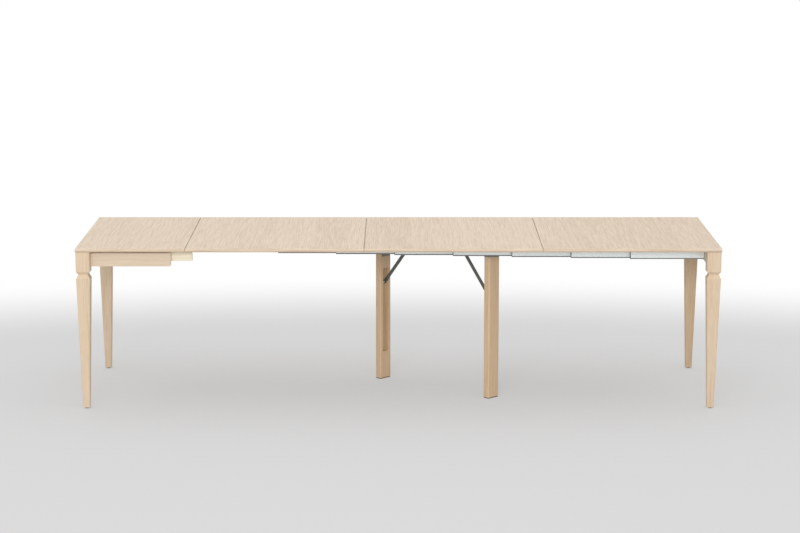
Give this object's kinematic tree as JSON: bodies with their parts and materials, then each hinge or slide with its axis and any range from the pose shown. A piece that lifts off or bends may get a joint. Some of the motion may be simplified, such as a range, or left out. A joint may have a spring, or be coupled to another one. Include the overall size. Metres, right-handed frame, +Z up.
{
  "type": "extendable console table",
  "caption": "Long pale oak table that closes to a console: end legs with notched tapers, telescopic aluminium slides, loose leaves, and folding centre legs with stays.",
  "frame": {"origin": "on the floor, under the middle of the open table's top", "axes": "+X along the table towards the moving end, +Y towards the back, +Z up"},
  "size_m": [3, 0.9, 0.765],
  "materials": {
    "oak": "bleached oak, matt lacquer",
    "pale_wood": "plain sanded softwood",
    "aluminium": "natural anodised extrusion",
    "cap_plastic": "dark moulded plastic",
    "glide_plastic": "dark foot glide",
    "zinc_steel": "zinc-plated steel",
    "dark_steel": "dark grey powder coat"
  },
  "bodies": {
    "left_end": {"fixed_top": "oak", "left_front_leg": "oak", "left_back_leg": "oak", "left_end_rail": "oak", "front_apron": "oak", "back_apron": "oak", "left_glides": "glide_plastic", "left_corner_blocks": "pale_wood", "left_corner_bolts": "zinc_steel", "slide_spacers": "pale_wood", "bearer_straps": "zinc_steel", "slide_section_10": "aluminium", "slide_caps_10": "cap_plastic"},
    "right_end": {"right_front_leg": "oak", "right_back_leg": "oak", "right_end_rail": "oak", "right_glides": "glide_plastic", "slide_end_plates": "zinc_steel", "slide_section_1": "aluminium", "slide_caps_1": "cap_plastic"},
    "bearers": {"leaf_bearers": "pale_wood"},
    "leaf_one": {"leaf_1": "oak"},
    "leaf_two": {"leaf_2": "oak"},
    "leaf_three": {"leaf_3": "oak"},
    "stage_2": {"slide_section_2": "aluminium", "slide_caps_2": "cap_plastic"},
    "stage_3": {"slide_section_3": "aluminium", "slide_caps_3": "cap_plastic"},
    "stage_4": {"slide_section_4": "aluminium", "slide_caps_4": "cap_plastic", "front_mount": "dark_steel", "front_hinge_fixed_leaf": "dark_steel", "front_hinge_pin": "zinc_steel", "front_stay_pin": "zinc_steel"},
    "stage_5": {"slide_section_5": "aluminium", "slide_caps_5": "cap_plastic"},
    "stage_6": {"slide_section_6": "aluminium", "slide_caps_6": "cap_plastic", "back_mount": "dark_steel", "back_hinge_fixed_leaf": "dark_steel", "back_hinge_pin": "zinc_steel", "back_stay_pin": "zinc_steel"},
    "stage_7": {"slide_section_7": "aluminium", "slide_caps_7": "cap_plastic"},
    "stage_8": {"slide_section_8": "aluminium", "slide_caps_8": "cap_plastic"},
    "stage_9": {"slide_section_9": "aluminium", "slide_caps_9": "cap_plastic"},
    "front_leg": {"front_centre_leg": "oak", "front_hinge_moving_leaf": "dark_steel", "front_centre_glide": "glide_plastic"},
    "front_brace": {"front_stay": "dark_steel", "front_slide_pin": "zinc_steel"},
    "back_leg": {"back_centre_leg": "oak", "back_hinge_moving_leaf": "dark_steel", "back_centre_glide": "glide_plastic"},
    "back_brace": {"back_stay": "dark_steel", "back_slide_pin": "zinc_steel"}
  },
  "joints": [
    {"name": "extension", "type": "slide", "parent": "left_end", "child": "right_end", "axis": [1, 0, 0], "range_m": [-2.49, 0]},
    {"name": "stage_2_slide", "type": "slide", "parent": "left_end", "child": "stage_2", "axis": [1, 0, 0], "range_m": [-2.21383, 0]},
    {"name": "stage_3_slide", "type": "slide", "parent": "left_end", "child": "stage_3", "axis": [1, 0, 0], "range_m": [-1.93717, 0]},
    {"name": "stage_4_slide", "type": "slide", "parent": "left_end", "child": "stage_4", "axis": [1, 0, 0], "range_m": [-1.6605, 0]},
    {"name": "stage_5_slide", "type": "slide", "parent": "left_end", "child": "stage_5", "axis": [1, 0, 0], "range_m": [-1.38383, 0]},
    {"name": "stage_6_slide", "type": "slide", "parent": "left_end", "child": "stage_6", "axis": [1, 0, 0], "range_m": [-1.10717, 0]},
    {"name": "stage_7_slide", "type": "slide", "parent": "left_end", "child": "stage_7", "axis": [1, 0, 0], "range_m": [-0.8305, 0]},
    {"name": "stage_8_slide", "type": "slide", "parent": "left_end", "child": "stage_8", "axis": [1, 0, 0], "range_m": [-0.55383, 0]},
    {"name": "stage_9_slide", "type": "slide", "parent": "left_end", "child": "stage_9", "axis": [1, 0, 0], "range_m": [-0.27717, 0]},
    {"name": "bearer_slide", "type": "slide", "parent": "left_end", "child": "bearers", "axis": [1, 0, 0], "range_m": [-0.1022, 0]},
    {"name": "leaf_1_lift", "type": "slide", "parent": "left_end", "child": "leaf_one", "axis": [0, 0, 1], "range_m": [0, 0.3]},
    {"name": "leaf_2_lift", "type": "slide", "parent": "left_end", "child": "leaf_two", "axis": [0, 0, 1], "range_m": [0, 0.3]},
    {"name": "leaf_3_lift", "type": "slide", "parent": "left_end", "child": "leaf_three", "axis": [0, 0, 1], "range_m": [0, 0.3]},
    {"name": "front_leg_fold", "type": "hinge", "parent": "stage_4", "child": "front_leg", "pos_m": [0.4268, -0.1893, 0.6835], "axis": [0.7071, 0.7071, 0], "range_deg": [0, 90]},
    {"name": "front_stay_swing", "type": "hinge", "parent": "stage_4", "child": "front_brace", "pos_m": [0.32159, -0.08408, 0.6723], "axis": [0.7071, 0.7071, 0], "range_deg": [0, 130.66]},
    {"name": "back_leg_fold", "type": "hinge", "parent": "stage_6", "child": "back_leg", "pos_m": [-0.06014, 0.1893, 0.6835], "axis": [-0.7071, -0.7071, 0], "range_deg": [0, 90]},
    {"name": "back_stay_swing", "type": "hinge", "parent": "stage_6", "child": "back_brace", "pos_m": [0.04508, 0.08408, 0.6723], "axis": [-0.7071, -0.7071, 0], "range_deg": [0, 130.66]}
  ],
  "couplings": [
    {"joint": "stage_2_slide", "follows": "extension", "ratio": 0.88889},
    {"joint": "stage_3_slide", "follows": "extension", "ratio": 0.77778},
    {"joint": "stage_4_slide", "follows": "extension", "ratio": 0.66667},
    {"joint": "stage_5_slide", "follows": "extension", "ratio": 0.55556},
    {"joint": "stage_6_slide", "follows": "extension", "ratio": 0.44444},
    {"joint": "stage_7_slide", "follows": "extension", "ratio": 0.33333},
    {"joint": "stage_8_slide", "follows": "extension", "ratio": 0.22222},
    {"joint": "stage_9_slide", "follows": "extension", "ratio": 0.11111},
    {"joint": "bearer_slide", "follows": "extension", "ratio": 0.040964},
    {"joint": "front_stay_swing", "follows": "front_leg_fold", "ratio": 1.4496},
    {"joint": "back_stay_swing", "follows": "back_leg_fold", "ratio": 1.4496}
  ]
}
